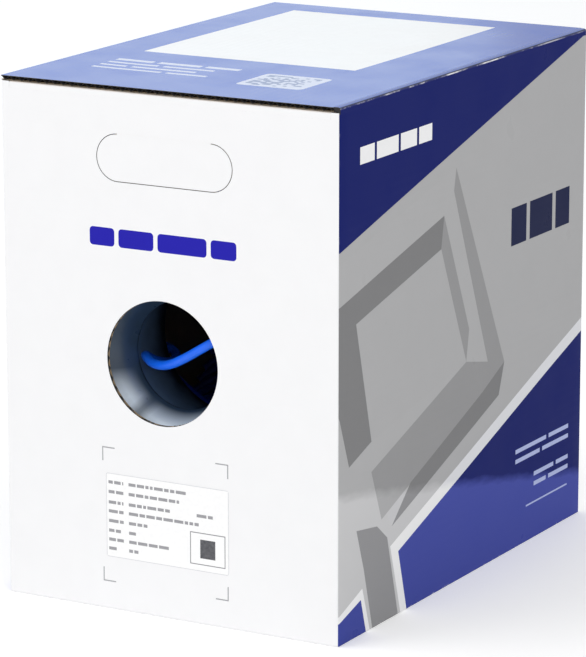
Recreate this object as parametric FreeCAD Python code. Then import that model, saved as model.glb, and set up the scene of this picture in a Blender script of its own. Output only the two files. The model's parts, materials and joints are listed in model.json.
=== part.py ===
"""Easy-pull network cable box: a corrugated carton holding one wound coil of cable.

Frame: millimetres, origin at the centre of the underside, +Z up, the pull-out face towards -Y and the
printed long side towards +X. Each function makes one piece, and main() writes one STEP file per piece.
"""
import FreeCAD, Part
import math
import os

V = FreeCAD.Vector

# --- Carton: overall sizes and board ---
BOX_W = 247.0            # across the pull-out face (X)
BOX_D = 355.0            # front to back (Y)
BOX_H = 345.0            # floor to top (Z)
BOARD = 3.0              # corrugated board thickness, B flute
MOVE_GAP = 0.3           # between a moving flap and what it lies on or beside
CREASE_GAP = 0.15        # half opening left in the mitre of a moving crease

# --- Top closure ---
TOP_DUST_L = 78.0        # length of the front and back dust flaps
TOP_DUST_INSET = 6.0     # dust flap's side edge in from the carton's outer corner
DUST_TAPER = 0.55        # sideways taper per length, so the lid lifts clear of it
INNER_FLAP_L = 112.0     # inner flap from its crease on the left wall
INNER_FLAP_SIDE_GAP = 2.0

# --- Bottom closure and side seam ---
BOTTOM_DUST_L = 110.0
BOTTOM_SEAM = 1.0        # gap between the two outer bottom flaps
TAB_W = 34.0             # glued side seam tab
TAB_END_GAP = 3.0
STAPLE_CROWN = 34.0
STAPLE_LEG_W = 2.2
STAPLE_T = 0.6
STAPLE_ROWS = 3          # along each half of the bottom
STAPLE_FROM_SEAM = 32.0
STAPLE_FROM_END = 24.0
STAPLE_PITCH = 34.0

# --- Hand holds, die-cut in the front and back walls ---
HAND_X = -2.25
HAND_W = 100.0
HAND_H = 31.2
HAND_TOP = 30.5          # top of the cut below the carton's top
HAND_KERF = 0.5

# --- Pull-out hole, funnel and liner tube ---
HOLE_X = -4.75
HOLE_R = 41.0
MOUTH_STEP = 19.0        # funnel mouth beyond the hole, where the free end is tucked away
FUNNEL_THROAT_R = 36.0
FUNNEL_DEPTH = 26.0      # flange face to throat
FUNNEL_WALL = 2.0
FUNNEL_CLEAR = 1.0       # kept round the cone by the winding and the liner tube
FLANGE_W = 12.0
FLANGE_T = 2.0
RIB_COUNT = 8
RIB_T = 1.8
TUBE_R = 52.0            # inside of the liner tube
TUBE_WALL = 1.5
TUBE_FIT = 0.4           # liner tube in the winding's radial hole
TUBE_INSET = 3.0         # tube end inside the winding's outer and inner faces

# --- Wound coil and the free cable tail ---
COIL_CORE_R = 85.0
COIL_EDGE_R = 12.0       # rounded edges of the winding
COIL_SIDE_GAP = 3.5
COIL_FLOOR_GAP = 0.1
COIL_TOP_GAP = 8.3       # least room over the winding
COIL_END_GAP = 12.35     # least room in front of and behind the winding
CABLE_D = 6.1
# Tail route, as (right of the hole's centre, depth behind the front face, above the hole's centre),
# from the winding's inside face, through the liner tube and throat, to the cut end behind the wall.
TAIL_ROUTE = (
    (-98.0, 91.0, -6.0),
    (-81.0, 99.0, -12.0),
    (-64.0, 104.0, -16.0),
    (-48.5, 98.5, -18.5),
    (-40.0, 84.5, -20.0),
    (-38.0, 69.0, -18.5),
    (-39.5, 54.5, -13.5),
    (-37.5, 41.5, -7.0),
    (-31.0, 30.5, -4.5),
    (-19.5, 21.5, -7.0),
    (-5.0, 15.5, -5.0),
    (11.0, 11.0, 3.0),
    (27.0, 8.6, 13.0),
    (41.5, 8.2, 21.5),
)

# --- Sticker on the front face ---
LABEL_LEFT = 75.75       # from the carton's left outer edge
LABEL_FOOT = 35.0        # lower edge above the floor
LABEL_W = 91.75
LABEL_H = 56.25
LABEL_T = 0.15
LABEL_CORNER = 1.5

# --- Worked out from the sizes above ---
X1, X0 = BOX_W / 2, -BOX_W / 2
Y1, Y0 = BOX_D / 2, -BOX_D / 2
LID_UNDER = BOX_H - BOARD
HINGE_Z = LID_UNDER - MOVE_GAP          # outer corner of the creases under the lid
FLAP_UNDER = HINGE_Z - BOARD
FLOOR_TOP = 2 * BOARD                   # upper face of the bottom's two layers
COIL_R = min((FLAP_UNDER - FLOOR_TOP - COIL_FLOOR_GAP - COIL_TOP_GAP) / 2,
             BOX_D / 2 - BOARD - COIL_END_GAP)
HOLE_Z = FLOOR_TOP + COIL_FLOOR_GAP + COIL_R    # the hole, funnel and winding share one height
COIL_W = BOX_W - 2 * BOARD - 2 * COIL_SIDE_GAP
HAND_Z1 = BOX_H - HAND_TOP
HAND_Z0 = HAND_Z1 - HAND_H
THROAT_DEPTH = BOARD + FUNNEL_DEPTH
FLANGE_BACK = BOARD + FLANGE_T
LIP_DEPTH = THROAT_DEPTH + FUNNEL_WALL
FUNNEL_MOUTH_R = HOLE_R + MOUTH_STEP
FLANGE_R = FUNNEL_MOUTH_R + FLANGE_W
CONE_SLOPE = (FUNNEL_MOUTH_R - FUNNEL_THROAT_R) / (LIP_DEPTH - FLANGE_BACK)   # of its outer surface
SEGMENT = 0.45                          # of the shorter run, taken by each arc of the tail


def prism(points, direction):
    """A solid from a flat outline, pushed along a vector."""
    return Part.Face(Part.makePolygon(points + points[:1])).extrude(direction)


def block(low, high):
    return Part.makeBox(high[0] - low[0], high[1] - low[1], high[2] - low[2], V(*low))


def tall_wall(corners, z0, z1):
    """A wall standing on z0, from its outline in plan: the ends are mitred to its neighbours."""
    return prism([V(x, y, z0) for x, y in corners], V(0, 0, z1 - z0))


def bar_along_x(profile):
    """A bar across the whole width, from its section in Y and Z: it mitres an end wall's crease."""
    return prism([V(X0, y, z) for y, z in profile], V(BOX_W, 0, 0))


def bar_along_y(profile, inset):
    """A bar along the depth, from its section in X and Z, starting and ending inset from the corners."""
    return prism([V(x, Y0 + inset, z) for x, z in profile], V(0, BOX_D - 2 * inset, 0))


def stadium(width, height, x, z, y0, y1):
    """A slot-shaped solid with round ends, through Y."""
    r = height / 2
    half = width / 2 - r
    top, low = V(x, y0, z + r), V(x, y0, z - r)
    step, out = V(half, 0, 0), V(half + r, 0, 0)
    middle = V(x, y0, z)
    wire = Part.Wire([
        Part.makeLine(top - step, top + step),
        Part.Arc(top + step, middle + out, low + step).toShape(),
        Part.makeLine(low + step, low - step),
        Part.Arc(low - step, middle - out, top - step).toShape(),
    ])
    return Part.Face(wire).extrude(V(0, y1 - y0, 0))


# --- Walls ---
def end_wall(front):
    """The front or back wall, with mitred corners, a mitred top crease and its hand hold."""
    s = -1 if front else 1
    face, inner = s * BOX_D / 2, s * (BOX_D / 2 - BOARD)
    wall = tall_wall([(X0, face), (X1, face), (X1 - BOARD, inner), (X0 + BOARD, inner)], 0, HINGE_Z)
    top = [(face, HINGE_Z - CREASE_GAP), (inner, FLAP_UNDER - CREASE_GAP), (inner, BOX_H), (face, BOX_H)]
    wall = wall.cut(bar_along_x(top))
    through = sorted((face + s, inner - s))
    cut = stadium(HAND_W, HAND_H, HAND_X, (HAND_Z0 + HAND_Z1) / 2, *through)
    return wall.cut(cut)


def front_panel():
    hole = Part.makeCylinder(HOLE_R, 3 * BOARD, V(HOLE_X, Y0 - BOARD, HOLE_Z), V(0, 1, 0))
    return end_wall(True).cut(hole)


def side_wall(right):
    """A long wall: the right one carries the lid, the left one the short inner flap."""
    s = 1 if right else -1
    face, inner = s * BOX_W / 2, s * (BOX_W / 2 - BOARD)
    top = BOX_H if right else HINGE_Z
    wall = tall_wall([(face, Y0), (face, Y1), (inner, Y1 - BOARD), (inner, Y0 + BOARD)], 0, top)
    low = [(face, 0), (inner, BOARD), (inner, -BOARD), (face, -BOARD)]
    mitre = [(face, top - CREASE_GAP), (inner, top - BOARD - CREASE_GAP),
             (inner, top + BOARD), (face, top + BOARD)]
    return wall.cut(bar_along_y(low, BOARD)).cut(bar_along_y(mitre, 0))


def glue_tab():
    """The side seam: a tab folded from the left wall and glued inside the back wall."""
    y1 = Y1 - BOARD
    x0 = X0 + BOARD
    return block((x0, y1 - BOARD, FLOOR_TOP + TAB_END_GAP), (x0 + TAB_W, y1, FLAP_UNDER - TAB_END_GAP))


# --- Bottom ---
def bottom_flap(right):
    """An outer bottom flap, mitred to its long wall, tucked between the end walls' lower edges."""
    s = 1 if right else -1
    edge = s * BOX_W / 2
    outline = [(edge, 0), (s * BOTTOM_SEAM / 2, 0), (s * BOTTOM_SEAM / 2, BOARD), (edge - s * BOARD, BOARD)]
    flap = bar_along_y(outline, BOARD)
    return flap.cut(bottom_staples())


def bottom_dust_flap(front):
    s = -1 if front else 1
    root, tip = s * (BOX_D / 2 - BOARD), s * (BOX_D / 2 - BOTTOM_DUST_L)
    y0, y1 = sorted((root, tip))
    side = BOARD + MOVE_GAP
    return block((X0 + side, y0, BOARD), (X1 - side, y1, FLOOR_TOP)).cut(bottom_staples())


def staple(x, y):
    """One box staple along Y: a flat crown flush with the underside and two legs clinched inwards."""
    crown = block((x - STAPLE_LEG_W / 2, y - STAPLE_CROWN / 2, 0),
                  (x + STAPLE_LEG_W / 2, y + STAPLE_CROWN / 2, STAPLE_T))
    for end in (-1, 1):
        outer = y + end * STAPLE_CROWN / 2
        inner = outer - end * STAPLE_T
        low, high = sorted((outer, inner))
        leg = block((x - STAPLE_LEG_W / 2, low, 0), (x + STAPLE_LEG_W / 2, high, FLOOR_TOP))
        reach = sorted((outer, outer - end * STAPLE_CROWN / 3))
        clinch = block((x - STAPLE_LEG_W / 2, reach[0], FLOOR_TOP - STAPLE_T),
                       (x + STAPLE_LEG_W / 2, reach[1], FLOOR_TOP))
        crown = crown.fuse([leg, clinch])
    return crown.removeSplitter()


def bottom_staples():
    """Two rows of staples at each end, one each side of the bottom seam."""
    placed = []
    for end in (-1, 1):
        for side in (-1, 1):
            for row in range(STAPLE_ROWS):
                y = end * (BOX_D / 2 - STAPLE_FROM_END - row * STAPLE_PITCH)
                placed.append(staple(side * (STAPLE_FROM_SEAM + row * STAPLE_PITCH / 2), y))
    return Part.makeCompound(placed)


# --- Top ---
def lid_flap():
    """The outer top flap over the whole top, creased along the right wall's outer top corner."""
    outline = [(X0, BOX_H), (X0, LID_UNDER), (X1 - BOARD - CREASE_GAP, LID_UNDER), (X1 - CREASE_GAP, BOX_H)]
    return bar_along_y(outline, 0)


def inner_top_flap():
    """The short flap creased on the left wall, lying between the two dust flaps."""
    half = BOX_D / 2 - TOP_DUST_L - INNER_FLAP_SIDE_GAP
    start = X0 + CREASE_GAP
    outline = [(start, HINGE_Z), (X0 + INNER_FLAP_L, HINGE_Z), (X0 + INNER_FLAP_L, FLAP_UNDER),
               (start + BOARD, FLAP_UNDER)]
    return prism([V(x, -half, z) for x, z in outline], V(0, 2 * half, 0))


def top_dust_flap(front):
    """A dust flap with tapered sides, creased on the outer top corner of its end wall."""
    s = -1 if front else 1
    edge = s * (BOX_D / 2 - CREASE_GAP)
    inner = edge - s * BOARD
    tip = s * (BOX_D / 2 - TOP_DUST_L)
    section = [(edge, HINGE_Z), (tip, HINGE_Z), (tip, FLAP_UNDER), (inner, FLAP_UNDER)]
    flap = bar_along_x(section)
    root, end = X1 - TOP_DUST_INSET, X1 - TOP_DUST_INSET - DUST_TAPER * TOP_DUST_L
    plan = [V(-root, edge, 0), V(root, edge, 0), V(end, tip, 0), V(-end, tip, 0)]
    return flap.common(prism(plan, V(0, 0, BOX_H)))


def handle_flap(front):
    """The pushed-in tongue of a hand hold, hinged along its top edge on the wall's inner liner."""
    s = -1 if front else 1
    y = sorted((s * BOX_D / 2, s * (BOX_D / 2 - BOARD)))
    z = (HAND_Z0 + HAND_Z1) / 2
    return stadium(HAND_W - 2 * HAND_KERF, HAND_H - 2 * HAND_KERF, HAND_X, z, *y)


# --- Pull-out fittings ---
def ring_profile(points):
    """A solid turned about the pull-out axis, from (radius, depth behind the front face) points."""
    outline = [V(HOLE_X + r, Y0 + depth, HOLE_Z) for r, depth in points]
    face = Part.Face(Part.makePolygon(outline + outline[:1]))
    return face.revolve(V(HOLE_X, Y0, HOLE_Z), V(0, 1, 0), 360)


def payout_funnel():
    """Moulded funnel: a flange glued behind the front wall and a ribbed cone down to its throat."""
    cone = ring_profile([
        (FUNNEL_MOUTH_R, BOARD), (FLANGE_R, BOARD), (FLANGE_R, FLANGE_BACK),
        (FUNNEL_MOUTH_R + FUNNEL_WALL, FLANGE_BACK), (FUNNEL_THROAT_R + FUNNEL_WALL, LIP_DEPTH),
        (FUNNEL_THROAT_R, LIP_DEPTH), (FUNNEL_THROAT_R, THROAT_DEPTH),
    ])
    for i in range(RIB_COUNT):
        cone = cone.fuse(funnel_rib(360 * (i + 0.5) / RIB_COUNT))
    return cone.removeSplitter()


def funnel_rib(angle):
    """A three-cornered rib between the flange's back and the cone."""
    middle = FLANGE_BACK - FLANGE_T / 2
    foot = FLANGE_R - FLANGE_T
    end = FLANGE_BACK + FLANGE_W / 2
    low = FUNNEL_MOUTH_R + FUNNEL_WALL - CONE_SLOPE * (end - FLANGE_BACK)
    outline = [(FUNNEL_MOUTH_R + FUNNEL_WALL / 2, middle), (foot, middle), (foot, FLANGE_BACK), (low, end),
               (low - FUNNEL_WALL / 2, end)]
    rib = prism([V(HOLE_X + r, Y0 + d, HOLE_Z - RIB_T / 2) for r, d in outline], V(0, 0, RIB_T))
    rib.rotate(V(HOLE_X, 0, HOLE_Z), V(0, 1, 0), angle)
    return rib


def cone_depth(radius):
    """The depth at which the cone's outer surface has this radius."""
    return FLANGE_BACK + (FUNNEL_MOUTH_R + FUNNEL_WALL - radius) / CONE_SLOPE


def payout_tube():
    """Plain tube that keeps the winding's radial hole open, starting clear of the funnel's cone."""
    start = max(BOX_D / 2 - COIL_R + TUBE_INSET, cone_depth(TUBE_R - FUNNEL_CLEAR))
    end = BOX_D / 2 - COIL_CORE_R - TUBE_INSET
    outer = TUBE_R + TUBE_WALL
    return ring_profile([(TUBE_R, start), (outer, start), (outer, end), (TUBE_R, end)])


# --- Cable ---
def cable_coil():
    """The winding as one closed ring about X, with its radial pull-out hole."""
    half = COIL_W / 2
    z0, z1 = HOLE_Z + COIL_CORE_R, HOLE_Z + COIL_R
    face = Part.Face(Part.makePolygon([V(-half, 0, z0), V(half, 0, z0), V(half, 0, z1), V(-half, 0, z1),
                                       V(-half, 0, z0)]))
    ring = face.revolve(V(0, 0, HOLE_Z), V(1, 0, 0), 360)
    rims = [e for e in ring.Edges if e.Closed and abs(e.Curve.Center.x) > half - 1]
    ring = ring.makeFillet(COIL_EDGE_R, rims)
    hole = Part.makeCylinder(TUBE_R + TUBE_WALL + TUBE_FIT, BOX_D, V(HOLE_X, 0, HOLE_Z), V(0, -1, 0))
    mouth = FUNNEL_MOUTH_R + FUNNEL_WALL + FUNNEL_CLEAR
    throat = FUNNEL_THROAT_R + FUNNEL_WALL + FUNNEL_CLEAR
    pocket = ring_profile([(0, FLANGE_BACK), (mouth, FLANGE_BACK), (throat, LIP_DEPTH), (0, LIP_DEPTH)])
    return ring.cut(hole).cut(pocket)


def tail_points():
    return [V(HOLE_X + x, Y0 + depth, HOLE_Z + z) for x, depth, z in TAIL_ROUTE]


def rounded_path(points):
    """Straight runs joined by tangent arcs, and the arcs' radii."""
    edges, radii, at = [], [], points[0]
    for before, corner, after in zip(points, points[1:], points[2:]):
        a, b = before - corner, after - corner
        cut = SEGMENT * min(a.Length, b.Length)
        a.normalize()
        b.normalize()
        half_turn = (math.pi - a.getAngle(b)) / 2
        radius = cut / math.tan(half_turn)
        start, end = corner + a * cut, corner + b * cut
        inward = (a + b).normalize()
        middle = corner + inward * (radius / math.cos(half_turn) - radius)
        edges += [Part.makeLine(at, start), Part.Arc(start, middle, end).toShape()]
        radii.append(radius)
        at = end
    edges.append(Part.makeLine(at, points[-1]))
    return Part.Wire(edges), radii


def cable_tail():
    """The free cable end, as a tube along its route."""
    points = tail_points()
    path, radii = rounded_path(points)
    section = Part.Wire(Part.makeCircle(CABLE_D / 2, points[0], points[1] - points[0]))
    tube = path.makePipeShell([section], True, False)
    wanted = math.pi * CABLE_D ** 2 / 4 * path.Length
    print("tail length %.1f, volume ratio %.4f" % (path.Length, tube.Volume / wanted))
    print("tail radii in diameters:", ["%.1f" % (r / CABLE_D) for r in radii])
    return tube


# --- Sticker ---
def product_label():
    """Paper sticker lying on the front face, with rounded corners."""
    x0 = X0 + LABEL_LEFT
    sheet = block((x0, Y0 - LABEL_T, LABEL_FOOT), (x0 + LABEL_W, Y0, LABEL_FOOT + LABEL_H))
    corners = [e for e in sheet.Edges if abs(e.tangentAt(e.FirstParameter).y) > 0.9]
    return sheet.makeFillet(LABEL_CORNER, corners)


def all_pieces():
    return {
        "front_panel": front_panel(),
        "right_panel": side_wall(True),
        "back_panel": end_wall(False),
        "left_panel": side_wall(False),
        "glue_tab": glue_tab(),
        "bottom_flap_left": bottom_flap(False),
        "bottom_flap_right": bottom_flap(True),
        "bottom_dust_flap_front": bottom_dust_flap(True),
        "bottom_dust_flap_back": bottom_dust_flap(False),
        "bottom_staples": bottom_staples(),
        "lid_flap": lid_flap(),
        "inner_top_flap": inner_top_flap(),
        "top_dust_flap_front": top_dust_flap(True),
        "top_dust_flap_back": top_dust_flap(False),
        "front_handle_flap": handle_flap(True),
        "back_handle_flap": handle_flap(False),
        "payout_funnel": payout_funnel(),
        "payout_tube": payout_tube(),
        "cable_coil": cable_coil(),
        "cable_tail": cable_tail(),
        "product_label": product_label(),
    }


def main():
    os.makedirs("parts", exist_ok=True)
    for name, shape in all_pieces().items():
        if not shape.isValid():
            print("invalid:", name)
        shape.exportStep(os.path.join("parts", name + ".step"))


main()
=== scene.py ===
"""Looks of the easy-pull cable box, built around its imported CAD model.

Every length is in metres in the model's own frame: the pull-out face looks towards -Y, the printed long
side towards +X. Board panels are built as real corrugated board, with liners, flutes and printed areas.
"""
import json
import random
from math import cos, hypot, pi, radians, sin, sqrt

import bmesh
import bpy
from mathutils import Matrix, Vector
from mathutils.geometry import tessellate_polygon


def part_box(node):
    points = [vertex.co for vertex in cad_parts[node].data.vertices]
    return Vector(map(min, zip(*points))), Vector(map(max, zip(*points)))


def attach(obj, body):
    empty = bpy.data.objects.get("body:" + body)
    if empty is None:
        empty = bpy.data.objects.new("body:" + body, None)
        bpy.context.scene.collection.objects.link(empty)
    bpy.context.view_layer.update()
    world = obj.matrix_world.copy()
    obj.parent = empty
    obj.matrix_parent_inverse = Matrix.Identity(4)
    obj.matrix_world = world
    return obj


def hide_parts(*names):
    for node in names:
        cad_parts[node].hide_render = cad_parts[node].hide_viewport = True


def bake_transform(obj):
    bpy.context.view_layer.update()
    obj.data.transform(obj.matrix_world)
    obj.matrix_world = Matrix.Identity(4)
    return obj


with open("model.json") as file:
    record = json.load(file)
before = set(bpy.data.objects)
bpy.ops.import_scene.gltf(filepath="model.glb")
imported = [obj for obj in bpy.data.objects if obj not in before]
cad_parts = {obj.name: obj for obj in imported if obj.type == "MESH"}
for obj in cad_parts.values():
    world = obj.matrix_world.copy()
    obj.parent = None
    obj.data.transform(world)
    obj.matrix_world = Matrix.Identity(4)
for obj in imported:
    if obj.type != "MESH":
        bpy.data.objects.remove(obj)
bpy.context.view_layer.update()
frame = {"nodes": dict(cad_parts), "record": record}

MM = 0.001

# --- Sizes read from the model ---
LID_LO, LID_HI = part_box("lid_flap")
WALL_LO, WALL_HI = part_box("front_panel")
W, D, H = WALL_HI.x - WALL_LO.x, LID_HI.y - LID_LO.y, LID_HI.z
BOARD = LID_HI.z - LID_LO.z
HINGE_Z = WALL_HI.z
FUNNEL_LO, FUNNEL_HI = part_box("payout_funnel")
HOLE_X, HOLE_Z = (FUNNEL_LO.x + FUNNEL_HI.x) / 2, (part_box("cable_coil")[0].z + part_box("cable_coil")[1].z) / 2
MOUNTS = {m["name"]: m for m in frame["record"]["mounts"]}
HOLE_R = MOUNTS["payout_hole"]["dims"]["r_mm"] * MM
FRONT_Y = -D / 2

# --- Board make-up ---
LINER = 0.3 * MM          # outer and inner liner
MEDIUM = 0.22 * MM        # fluted paper between them
FLUTE_PITCH = 6.3 * MM
FLUTE_STEPS = 8           # straight pieces per flute
FOLD_R = 1.6 * MM         # outer rounding of a folded edge
CREASE = 4.5 * MM         # how far a moving crease's strip reaches each way
KERF = 0.5 * MM           # gap cut round a hand hold's tongue
BOW = 0.4 * MM            # how far a panel is dished inwards at most
BOW_EDGE = 60 * MM        # the dishing reaches its full depth this far in from a panel's edge
GRID = 13 * MM
FLUTE_RUN = 26 * MM       # longest straight run of the medium along its flutes

# --- Colours, as display values ---
PAPER_WHITE = (250, 250, 250)
RUBBED = (214, 214, 220)
WHITE_PRINT = (242, 242, 243)
NAVY = (19, 30, 102)
# painted sheen: the navy's paler tone low on the sides, for the floor's reflection in the film
NAVY_FLOOR_SHEEN = (70, 80, 164)
# painted sheen: the lid's navy print is given lighter and bluer than the sides' navy, for the sky reflected in
# its film; the crease's top likewise
TOP_NAVY_AND_SHEEN = (24, 88, 198)
CREASE_NAVY_AND_SHEEN = (112, 130, 192)
KRAFT = (186, 162, 130)
KRAFT_DARK = (142, 118, 90)
LABEL_GREY = (150, 150, 154)
JACKET = (10, 108, 255)
# painted shade: the wound cable is the tail's jacket made darker, and darker still for the body under the layers
JACKET_WOUND_SHADED = (10, 56, 178)
JACKET_UNDER_SHADED = (6, 26, 84)
FUNNEL_RGB = (44, 62, 84)
# painted light on the funnel's lower cone
FUNNEL_LIT_PATCH = (214, 228, 244)
TUBE_RGB = (132, 166, 208)
# painted shade at the liner tube's inner end
TUBE_SHADED_END = (16, 20, 30)
# painted shade: the end walls' cut edges and flutes are dark grey rather than kraft brown, for the shade on the
# hole's rim
SHADED_HOLE_CUT = (86, 90, 92)
SHADED_HOLE_MEDIUM = (74, 74, 74)
# painted shade on the lid's cut edges and flutes
SHADED_LID_CUT = (90, 88, 86)
SHADED_LID_MEDIUM = (54, 52, 52)

SIDE_PRINTS = {
    "navy": NAVY,
    "border": (221, 222, 226),
    "field": (175, 175, 176),
    "light": (176, 176, 177),
    "mid": (151, 151, 152),
    "dark": (129, 129, 130),
}
PLAIN_PRINTS = {
    "white": WHITE_PRINT,
    "royal": (44, 40, 170),
    "mark": (162, 162, 166),
    "ink": (30, 36, 70),
    "pale": (176, 186, 226),
    "patch": (226, 234, 252),
    "dot": (150, 166, 200),
}
# The sides' paler greys low down are a painted sheen, standing in for the floor's reflection in the film.
FLOOR_SHEEN_GAIN, FLOOR_SHEEN_MOST = 1.15, 240          # how pale a side's greys grow low down
SHEEN_TINT = (0.76, 0.88, 1, 1)

# --- Sizes of hidden or repeated features, as in the CAD source ---
DUST_TAPER = 0.55
CORE_R = 85 * MM
STAPLE_CROWN = 34 * MM
STAPLE_LEG = 2.2 * MM
STAPLE_ROWS = 3
STAPLE_FROM_SEAM = 32 * MM
STAPLE_FROM_END = 24 * MM
STAPLE_PITCH = 34 * MM


def linear(rgb):
    """A display colour from 0 to 255 as the linear colour that shaders take."""
    out = []
    for c in rgb:
        c /= 255
        out.append(c / 12.92 if c <= 0.04045 else ((c + 0.055) / 1.055) ** 2.4)
    return (*out, 1.0)


def add(name, data):
    """A new object in the scene."""
    thing = bpy.data.objects.new(name, data)
    bpy.context.scene.collection.objects.link(thing)
    return thing


def polar(r, a):
    return r * cos(a), r * sin(a)


def scaled(colour, factor):
    """A linear colour made darker or paler."""
    return (*(min(1, c * factor) for c in colour[:3]), 1)


# --- Camera, at the height and angle of a person looking down at a carton on a bench ---
SENSOR, LENS = 36, 214.5                  # millimetres
EYE = (3.2703, -5.9938, 2.2226)           # from the front right foot, in box heights
AHEAD = (-0.47623, 0.84834, -0.23136)
ASIDE = (0.87203, 0.48946, -0.0003)


def make_camera():
    data = bpy.data.cameras.new("camera")
    data.sensor_width = SENSOR
    data.lens = LENS
    camera = add("camera", data)
    place = Vector((W / 2, FRONT_Y, 0)) + Vector(EYE) * H
    forward, right = Vector(AHEAD).normalized(), Vector(ASIDE).normalized()
    up = right.cross(forward).normalized()
    camera.matrix_world = Matrix.Translation(place) @ Matrix((right, up, -forward)).transposed().to_4x4()
    bpy.context.scene.camera = camera


# --- The cable's free end: the same route as in the CAD source ---
CABLE_D = 6.1 * MM
# right of the hole's centre, depth behind the front face, above the hole's centre
TAIL_ROUTE = (
    (-0.0980, 0.0910, -0.0060),
    (-0.0810, 0.0990, -0.0120),
    (-0.0640, 0.1040, -0.0160),
    (-0.0485, 0.0985, -0.0185),
    (-0.0400, 0.0845, -0.0200),
    (-0.0380, 0.0690, -0.0185),
    (-0.0395, 0.0545, -0.0135),
    (-0.0375, 0.0415, -0.0070),
    (-0.0310, 0.0305, -0.0045),
    (-0.0195, 0.0215, -0.0070),
    (-0.0050, 0.0155, -0.0050),
    (0.0110, 0.0110, 0.0030),
    (0.0270, 0.0086, 0.0130),
    (0.0415, 0.0082, 0.0215),
)


def tail_points():
    return [Vector((HOLE_X + x, FRONT_Y + depth, HOLE_Z + z)) for x, depth, z in TAIL_ROUTE]


def make_tail(jacket):
    curve = bpy.data.curves.new("cable_tail_jacket", "CURVE")
    curve.dimensions = "3D"
    spline = curve.splines.new("NURBS")
    points = tail_points()
    spline.points.add(len(points) - 1)
    for point, place in zip(spline.points, points):
        point.co = (*place, 1)
    spline.order_u = 3
    spline.use_endpoint_u = True
    spline.resolution_u = 12
    curve.bevel_depth = CABLE_D / 2
    curve.bevel_resolution = 6
    curve.use_fill_caps = True
    curve.materials.append(jacket)
    tail = add("cable_tail_jacket", curve)
    core = make_cut_end(points[-1], (points[-1] - points[-2]).normalized())
    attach(tail, "carton")
    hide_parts("cable_tail")


def make_cut_end(tip, direction):
    """The cable's bare cut end: four twisted pairs of insulated wire, cut flush in the jacket."""
    side = direction.cross(Z).normalized()
    up = side.cross(direction).normalized()
    piece = Piece("cable_cut_end", (tip, side, up, direction))
    colours = ((230, 120, 20), (30, 150, 60), (30, 80, 200), (120, 74, 40))
    white = shade("wire_white", wire_shade, (232, 232, 228))
    reach, wire, off, apart, steps = 0.25 * MM, 0.46 * MM, 1.35 * MM, 0.9, 10
    for k, rgb in enumerate(colours):
        for j, material in enumerate((shade("wire_%d" % k, wire_shade, rgb), white)):
            a = pi / 4 + k * pi / 2 + (j - 0.5) * apart
            u, v = polar(off, a)
            rings = []
            for w, r in ((-0.4 * MM, wire), (reach * 0.8, wire), (reach, wire * 0.8)):
                round_wire = [polar(r, 2 * pi * i / steps) for i in range(steps)]
                rings.append([piece.point(u + du, v + dv, w) for du, dv in round_wire])
            piece.skin(rings, [piece.shade(material)] * (steps + 1))
    return piece.finish("carton", ())


# --- Node helpers ---
class Nodes:
    """A material's node tree, with short calls for the nodes used here."""

    def __init__(self, name):
        self.material = bpy.data.materials.new(name)
        self.material.use_nodes = True
        self.tree = self.material.node_tree
        self.shader = self.tree.nodes["Principled BSDF"]
        self.coords = self.new("TexCoord").outputs["Object"]

    def new(self, kind, **values):
        node = self.tree.nodes.new("ShaderNode" + kind)
        self.fill(node, values)
        return node

    def put(self, socket, value):
        if isinstance(value, bpy.types.NodeSocket):
            self.tree.links.new(value, socket)
        else:
            socket.default_value = value

    def fill(self, node, values):
        for name, value in values.items():
            self.put(node.inputs[name.replace("_", " ")], value)

    def set(self, **values):
        self.fill(self.shader, values)

    def math(self, operation, a, b=0.0, clamp=False):
        node = self.new("Math")
        node.operation = operation
        node.use_clamp = clamp
        self.put(node.inputs[0], a)
        self.put(node.inputs[1], b)
        return node.outputs[0]

    def times(self, a, b, clamp=False):
        return self.math("MULTIPLY", a, b, clamp)

    def noise(self, scale, detail, stretch=(1, 1, 1), rough=0.5):
        place = self.new("Mapping", Scale=stretch, Vector=self.coords).outputs[0]
        return self.new("TexNoise", Vector=place, Scale=scale, Detail=detail, Roughness=rough).outputs["Fac"]

    def wave(self, direction, pitch):
        node = self.new("TexWave", Vector=self.coords, Scale=2 * pi / (20 * pitch))
        node.bands_direction = direction
        return node.outputs["Fac"]

    def ramp(self, value, low, high, out_low=0.0, out_high=1.0):
        node = self.new("MapRange", Value=value, From_Min=low, From_Max=high, To_Min=out_low, To_Max=out_high)
        return node.outputs[0]

    def cloud(self, scale, detail, low=0.0, high=1.0):
        """Soft uneven patches between two values."""
        return self.ramp(self.noise(scale, detail), 0.3, 0.7, low, high)

    def mix(self, factor, a, b):
        node = self.new("Mix")
        node.data_type = "RGBA"
        self.fill(node, {"Factor": factor, "A": a, "B": b})
        return node.outputs["Result"]

    def bump(self, height, strength, distance, under=None):
        node = self.new("Bump", Strength=strength, Distance=distance, Height=height)
        if under is not None:
            self.put(node.inputs["Normal"], under)
        return node.outputs[0]

    def grain(self, scale, detail, strength, distance, under=None):
        """Makes the surface finely uneven, over any coarser shape."""
        self.set(Normal=self.bump(self.noise(scale, detail), strength, distance, under))

    def axis(self, name):
        return self.new("SeparateXYZ", Vector=self.coords).outputs[name]


SHADES = {}


def shade(name, maker, *args):
    """A material by name, made once."""
    if name not in SHADES:
        SHADES[name] = maker(name, *args)
    return SHADES[name]


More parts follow.
